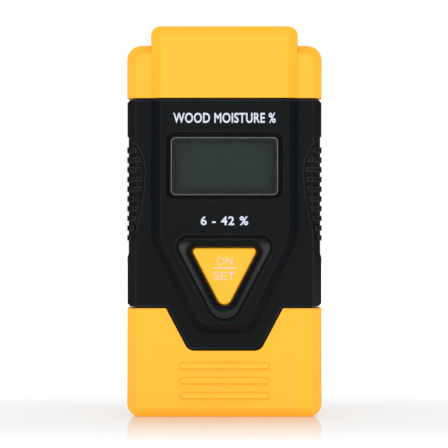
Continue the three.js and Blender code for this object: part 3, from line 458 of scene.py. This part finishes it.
def finish_shape(name):
    """Joins a part's flat faces again and rounds its sharp edges, all with live modifiers."""
    width, segments = EDGE_WIDTHS.get(name, INNER_EDGE)
    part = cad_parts[name]
    weld = part.modifiers.new("weld", "WELD")
    weld.merge_threshold = WELD_REACH
    flat = part.modifiers.new("flat", "DECIMATE")
    flat.decimate_type = "DISSOLVE"
    flat.angle_limit = FLAT_WITHIN
    edge = part.modifiers.new("edge", "BEVEL")
    edge.width = width * MM
    edge.segments = segments
    edge.limit_method = "ANGLE"
    edge.angle_limit = SHARP_FROM
    edge.harden_normals = True
    edge.use_clamp_overlap = True


def dress_parts():
    """Gives every moulded, metal and electronic part its rounding and its material."""
    for name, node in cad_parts.items():
        finish_shape(name)
        material = MATERIALS[PART_FINISH.get(name, "steel")]
        node.data.materials.clear()
        node.data.materials.append(material)


PART_FINISH = {
    "pin_cap": "yellow_plastic", "tail_cap": "yellow_plastic", "button": "yellow_plastic",
    "front_cover": "black_front", "rear_cover": "black_plastic", "battery_door": "black_plastic",
    "display_window": "window", "lcd_glass": "lcd", "lcd_holder": "white_plastic",
    "lcd_strip_upper": "contact_rubber", "lcd_strip_lower": "contact_rubber",
    "circuit_board": "board", "switch_body": "dark_resin", "switch_plunger": "white_plastic",
    "controller_chip": "dark_resin", "crystal": "steel", "capacitor": "blue_sleeve",
    "buzzer": "dark_resin", "resistor_1": "white_plastic", "resistor_2": "white_plastic",
    "resistor_3": "white_plastic", "pin_contact_left": "brass", "pin_contact_right": "brass",
    "pin_socket_left": "brass", "pin_socket_right": "brass",
}
dress_parts()

# ---- New pieces ----


def nothing_selected():
    if bpy.context.object and bpy.context.object.mode != "OBJECT":
        bpy.ops.object.mode_set(mode="OBJECT")
    bpy.ops.object.select_all(action="DESELECT")


def only(piece):
    nothing_selected()
    piece.select_set(True)
    bpy.context.view_layer.objects.active = piece


def settle(piece, name, material, body):
    """Leaves a finished piece at the origin with one material, riding on its body."""
    only(piece)
    bpy.ops.object.transform_apply(location=True, rotation=True, scale=True)
    piece.name = name
    piece.data.name = name
    piece.data.materials.clear()
    piece.data.materials.append(material)
    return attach(piece, body)


INK_THICK = 0.03 * MM
INK_SUNK = 0.008 * MM
CAPITAL_SHARE = 0.7  # height of a capital as a share of the type size


def printed_words(name, words, centre, width, height, material, body,
                  tracking=1.0, bold=0.02, to_back=False):
    """A line of raised marks on the front or back face, sized to its full width and height."""
    nothing_selected()
    size = height / CAPITAL_SHARE
    bpy.ops.object.text_add(location=(0, 0, 0), rotation=(0, 0, 0))
    line = bpy.context.object
    line.data.body = words
    line.data.size = size
    line.data.align_x = "CENTER"
    line.data.align_y = "CENTER"
    line.data.space_character = tracking
    line.data.offset = bold * size
    line.data.resolution_u = 5
    line.data.fill_mode = "BOTH"
    line.data.extrude = INK_THICK / 2
    only(line)
    bpy.ops.object.convert(target="MESH")
    line = bpy.context.object
    corners = [Vector(c) for c in line.bound_box]
    low = Vector([min(c[i] for c in corners) for i in range(3)])
    high = Vector([max(c[i] for c in corners) for i in range(3)])
    middle = (low + high) / 2
    grow = Matrix.Diagonal((width / (high.x - low.x), height / (high.y - low.y), 1, 1))
    turn = Matrix.Rotation(math.pi if to_back else 0, 4, "Z")
    upright = turn @ Matrix.Rotation(math.pi / 2, 4, "X")
    lift = INK_THICK / 2 - INK_SUNK
    face = Vector((centre[0], centre[1] + (lift if to_back else -lift), centre[2]))
    line.matrix_world = Matrix.Translation(face) @ upright @ grow @ Matrix.Translation(-middle)
    return settle(line, name, material, body)


def printed_rule(name, centre, width, thick, material, body):
    """A printed line with rounded ends, between two words."""
    nothing_selected()
    bpy.ops.mesh.primitive_plane_add(
        size=1, location=(centre[0], centre[1] + INK_SUNK, centre[2]),
        rotation=(math.pi / 2, 0, 0))
    rule = bpy.context.object
    rule.scale = (width, thick, 1)
    only(rule)
    bpy.ops.object.transform_apply(location=True, rotation=True, scale=True)
    bpy.ops.object.mode_set(mode="EDIT")
    bpy.ops.mesh.select_all(action="SELECT")
    bpy.ops.mesh.bevel(offset=thick * 0.4, segments=4, affect="VERTICES")
    bpy.ops.mesh.select_all(action="SELECT")
    bpy.ops.mesh.extrude_region_move(TRANSFORM_OT_translate={"value": (0, -INK_THICK, 0)})
    bpy.ops.mesh.select_all(action="SELECT")
    bpy.ops.mesh.normals_make_consistent(inside=False)
    bpy.ops.object.mode_set(mode="OBJECT")
    return settle(rule, name, material, body)


WINDOW_ROUND = 1.0 * MM
RIM_INSET = 0.18 * MM
RIM_WIDE = 0.2 * MM
RIM_PROUD = 0.06 * MM


def window_rim_highlight():
    """Pale narrow frame just proud of the clear lens's rounded outline, its light colour a painted
    highlight along the lens edge.
    """
    wide = window_high.x - window_low.x - 2 * RIM_INSET
    tall = window_high.z - window_low.z - 1.4 * RIM_INSET
    nothing_selected()
    bpy.ops.mesh.primitive_plane_add(
        size=1, location=(0, window_low.y, WINDOW_Z - 0.6 * RIM_INSET),
        rotation=(math.pi / 2, 0, 0))
    rim = bpy.context.object
    rim.scale = (wide, tall, 1)
    only(rim)
    bpy.ops.object.transform_apply(location=True, rotation=True, scale=True)
    bpy.ops.object.mode_set(mode="EDIT")
    bpy.ops.mesh.select_all(action="SELECT")
    bpy.ops.mesh.bevel(offset=WINDOW_ROUND, segments=8, affect="VERTICES")
    bpy.ops.mesh.select_all(action="SELECT")
    bpy.ops.mesh.inset(thickness=RIM_WIDE, depth=0)
    bpy.ops.mesh.delete(type="FACE")
    bpy.ops.mesh.select_all(action="SELECT")
    bpy.ops.mesh.extrude_region_move(TRANSFORM_OT_translate={"value": (0, -RIM_PROUD, 0)})
    bpy.ops.mesh.select_all(action="SELECT")
    bpy.ops.mesh.normals_make_consistent(inside=False)
    bpy.ops.object.mode_set(mode="OBJECT")
    soft = rim.modifiers.new("soft", "BEVEL")
    soft.width = RIM_PROUD * 0.4
    soft.segments = 2
    soft.limit_method = "ANGLE"
    bpy.ops.object.modifier_apply(modifier="soft")
    return settle(rim, "window_rim_highlight", RIM_HIGHLIGHT_PLASTIC, "housing")


window_rim_highlight()

printed_words("title_print", "WOOD MOISTURE %", (0, FACE_Y, window_high.z + 3.72 * MM),
              20.9 * MM, 2.1 * MM, WHITE_INK, "housing", 1.06, 0.022)
printed_words("range_print", "6 - 42 %", (0, FACE_Y, window_low.z - 5.2 * MM),
              9.7 * MM, 1.85 * MM, WHITE_INK, "housing", 1.12, 0.024)
printed_words("button_upper_print", "ON", (0, button_low.y, BUTTON_TOP - 2.63 * MM),
              3.3 * MM, 1.65 * MM, PALE_INK, "key", 1.0, 0.01)
printed_words("button_lower_print", "SET", (0, button_low.y, BUTTON_TOP - 5.64 * MM),
              4.5 * MM, 1.72 * MM, PALE_INK, "key", 1.0, 0.01)
printed_rule("button_rule_print", (0, button_low.y, BUTTON_TOP - 4.04 * MM),
             4.78 * MM, 0.35 * MM, PALE_INK, "key")

cell_radius = (cell_high.z - cell_low.z) / 2
printed_words("cell_plus_mark", "+", (0, cell_high.y, CELL_Z + cell_radius * 0.45),
              3.2 * MM, 3.2 * MM, ETCHED, "housing", 1.0, 0.02, to_back=True)

LIP_SET_IN = 0.9 * MM
LIP_WIDE = 0.9 * MM
LIP_PLAY = 0.01 * MM
LIP_SHORT = 0.8 * MM


def seam_lip(side, name):
    """Strip of the lip inside the seam between the covers, which keeps dust and light out."""
    seam_front = cover_high.y
    length = cap_low.z - tail_high.z - LIP_SHORT
    middle = (cap_low.z + tail_high.z) / 2
    outer = cover_high.x - LIP_SET_IN
    nothing_selected()
    bpy.ops.mesh.primitive_cube_add(size=1, location=(0, 0, 0))
    lip = bpy.context.object
    lip.scale = (LIP_WIDE, seam_rear - seam_front - 2 * LIP_PLAY, length)
    lip.location = (side * (outer - LIP_WIDE / 2), (seam_front + seam_rear) / 2, middle)
    only(lip)
    bpy.ops.object.transform_apply(location=True, rotation=True, scale=True)
    bpy.ops.object.mode_set(mode="EDIT")
    bpy.ops.mesh.select_all(action="SELECT")
    bpy.ops.mesh.bevel(offset=LIP_PLAY * 3, segments=2, affect="EDGES")
    bpy.ops.object.mode_set(mode="OBJECT")
    return settle(lip, name, MATERIALS["black_plastic"], "housing")


seam_lip(-1, "seam_lip_left")
seam_lip(1, "seam_lip_right")

# ---- Floor, light and camera ----

FLOOR_GLOW = (0.27, 0.7)
FLOOR_BOUNCE = 0.5
FLOOR_GLOW_REACH = (50 * MM, 260 * MM)
FLOOR_SHEEN = 0.77
FLOOR_SHEEN_END = 98 * MM


def fading_floor():
    """White tabletop, glossy by the meter and matt further out, so its mirror image dies away."""
    material, tree, shader = start_material("floor", Specular_IOR_Level=0.0, Roughness=1.0)
    place = stretched(tree, (1, 1, 1))
    split = add(tree, "SeparateXYZ")
    link(tree, place, split.inputs[0])
    grain = noise(tree, place, 40.0, 4.0, 0.5)
    link(tree, blend_colour(tree, grain, (0.64, 0.64, 0.64), (0.68, 0.68, 0.68)),
         shader.inputs["Base Color"])
    away = add(tree, "VectorMath", operation="LENGTH")
    link(tree, place, away.inputs[0])
    path = add(tree, "LightPath")
    bounced = math_node(tree, "MULTIPLY", path.outputs["Is Diffuse Ray"], FLOOR_BOUNCE)
    glow = between(tree, away.outputs["Value"], *FLOOR_GLOW_REACH, *FLOOR_GLOW)
    seen = math_node(tree, "MULTIPLY", glow, path.outputs["Is Camera Ray"])
    shader.inputs["Emission Color"].default_value = (1, 1, 1, 1)
    link(tree, math_node(tree, "MAXIMUM", seen, bounced), shader.inputs["Emission Strength"])
    across = math_node(tree, "ABSOLUTE", split.outputs["X"])
    deep = math_node(tree, "ABSOLUTE", split.outputs["Y"])
    beside = math_node(tree, "SUBTRACT", across, cover_high.x)
    ahead = math_node(tree, "SUBTRACT", deep, -cover_low.y)
    gap = math_node(tree, "MAXIMUM", beside, ahead)
    near = between(tree, gap, FLOOR_SHEEN_END, 0.0, 0.0, FLOOR_SHEEN, ends="LINEAR")
    grazing = add(tree, "Fresnel", IOR=1.45).outputs["Fac"]
    sheen = math_node(tree, "MULTIPLY", near, grazing, clamp=True)
    gloss = add(tree, "BsdfGlossy", Roughness=0.06)
    mixed = add(tree, "MixShader")
    link(tree, sheen, mixed.inputs["Fac"])
    link(tree, shader.outputs["BSDF"], mixed.inputs[1])
    link(tree, gloss.outputs["BSDF"], mixed.inputs[2])
    link(tree, mixed.outputs["Shader"], tree.nodes["Material Output"].inputs["Surface"])
    return material


def lay_floor():
    nothing_selected()
    bpy.ops.mesh.primitive_plane_add(size=6, location=(0, 0, 0))
    floor = bpy.context.object
    floor.name = "floor"
    floor.data.materials.append(fading_floor())


SKY_LIGHT = 0.95
SKY_GLOSS = 0.06
MIDDLE = (0, 0, 0.04)


def light_studio():
    """Even surroundings, dim to the sheen, with a white backdrop behind the meter."""
    world = bpy.data.worlds.new("studio")
    bpy.context.scene.world = world
    world.use_nodes = True
    tree = world.node_tree
    sky = tree.nodes["Background"]
    sky.inputs["Color"].default_value = (1, 1, 1, 1)
    facing = add(tree, "SeparateXYZ")
    link(tree, add(tree, "TexCoord").outputs["Generated"], facing.inputs[0])
    path = add(tree, "LightPath")
    around = between(tree, path.outputs["Is Glossy Ray"], 0.0, 1.0, SKY_LIGHT, SKY_GLOSS)
    backdrop = between(tree, facing.outputs["Y"], 0.955, 0.985, around, 1.0)
    link(tree, math_node(tree, "MAXIMUM", backdrop, path.outputs["Is Camera Ray"]),
         sky.inputs["Strength"])


def softbox(name, place, aim, size, power):
    lamp = bpy.data.lights.new(name, "AREA")
    lamp.shape = "RECTANGLE"
    lamp.size, lamp.size_y = size
    lamp.energy = power
    box = bpy.data.objects.new(name, lamp)
    bpy.context.collection.objects.link(box)
    box.location = place
    box.visible_camera = False
    box.rotation_euler = (Vector(aim) - Vector(place)).to_track_quat("-Z", "Y").to_euler()


lay_floor()
light_studio()
softbox("overhead", (0, -0.30, 0.62), MIDDLE, (0.7, 0.5), 0.85)
softbox("front", (0, -0.95, 0.08), MIDDLE, (0.9, 0.5), 2.4)
softbox("rear", (0, 0.90, 0.35), MIDDLE, (0.7, 0.4), 1.2)

LENS = 300.0
SENSOR = 36.0
VIEW_WIDE = 91.57 * MM  # width seen at the middle of the front face
VIEW_PLANE = -8 * MM
VIEW_HEIGHT = 39.54 * MM
VIEW_ASIDE = -0.09 * MM

lens = bpy.data.cameras.new("camera")
lens.lens = LENS
lens.sensor_width = SENSOR
camera = bpy.data.objects.new("camera", lens)
bpy.context.collection.objects.link(camera)
camera.location = (VIEW_ASIDE, VIEW_PLANE - VIEW_WIDE * LENS / SENSOR, VIEW_HEIGHT)
camera.rotation_euler = (math.pi / 2, 0, 0)
bpy.context.scene.camera = camera
bpy.context.scene.view_settings.view_transform = "Standard"
